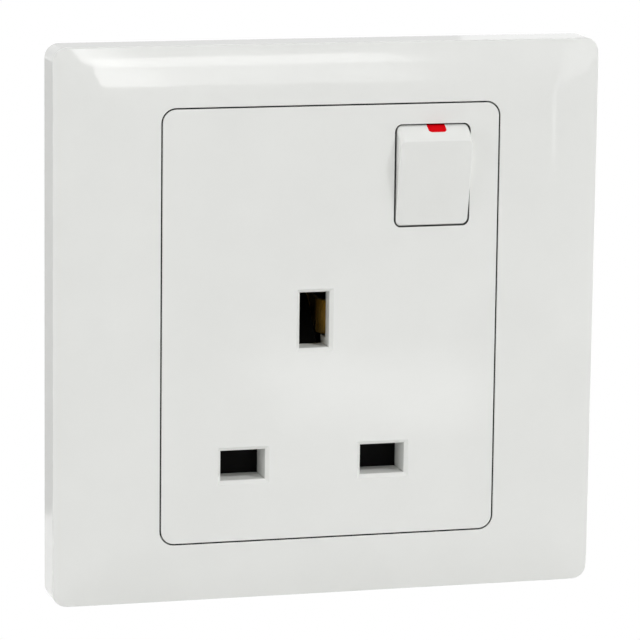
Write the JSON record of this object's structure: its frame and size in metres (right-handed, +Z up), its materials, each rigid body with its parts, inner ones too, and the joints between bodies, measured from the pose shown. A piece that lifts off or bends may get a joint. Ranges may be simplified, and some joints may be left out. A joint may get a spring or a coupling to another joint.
{
  "type": "switched socket",
  "caption": "White square one-gang switched wall socket with rectangular pin slots, a rocker switch with a red mark, and a bevelled clip-on surround.",
  "frame": {"origin": "centre of the plate on the wall plane, where the surround's back rim meets the wall", "axes": "+Z up, +X to the right seen from the front, -Y out of the wall towards the user, +Y into the wall box"},
  "size_m": [0.086, 0.0288, 0.086],
  "materials": {
    "white_gloss": "gloss",
    "housing_white": "matte",
    "black_plastic": "matte",
    "red_plastic": "gloss",
    "brass": "rolled",
    "silver": "satin",
    "zinc_steel": "bright zinc",
    "spring_steel": "drawn"
  },
  "bodies": {
    "socket": {"surround_frame": "white_gloss", "front_plate": "white_gloss", "rear_housing": "housing_white", "line_contact": "brass", "neutral_contact": "brass", "earth_contact": "brass", "line_terminal": "brass", "earth_terminal": "brass", "neutral_terminal": "brass", "terminal_screws": "zinc_steel", "housing_screws": "zinc_steel", "fixed_contact": "brass", "fixed_contact_tip": "silver", "shutter_spring": "spring_steel"},
    "rocker": {"rocker": "white_gloss", "on_mark": "red_plastic", "plunger_spring": "spring_steel"},
    "plunger": {"plunger": "housing_white"},
    "contact_arm": {"contact_arm": "brass", "moving_contact_tip": "silver"},
    "shutter": {"shutter": "black_plastic"}
  },
  "joints": [
    {"name": "rocker_hinge", "type": "hinge", "parent": "socket", "child": "rocker", "pos_m": [0.0159, -0.004, 0.02252], "axis": [-1, 0, 0], "range_deg": [0, 22]},
    {"name": "contact_arm_rock", "type": "hinge", "parent": "socket", "child": "contact_arm", "pos_m": [0.0159, 0.0035, 0.02252], "axis": [-1, 0, 0], "range_deg": [-16, 0]},
    {"name": "plunger_slide", "type": "slide", "parent": "rocker", "child": "plunger", "axis": [0, -0.9816, -0.1908], "range_m": [0, 0.0006], "stiffness_N_per_m": 400, "springref_m": -0.002, "deforming": ["plunger_spring"]},
    {"name": "shutter_slide", "type": "slide", "parent": "socket", "child": "shutter", "axis": [0, 0, -1], "range_m": [0, 0.0061], "stiffness_N_per_m": 120, "springref_m": -0.004, "deforming": ["shutter_spring"]}
  ],
  "couplings": [
    {"joint": "contact_arm_rock", "follows": "rocker_hinge", "ratio": -0.7272}
  ]
}
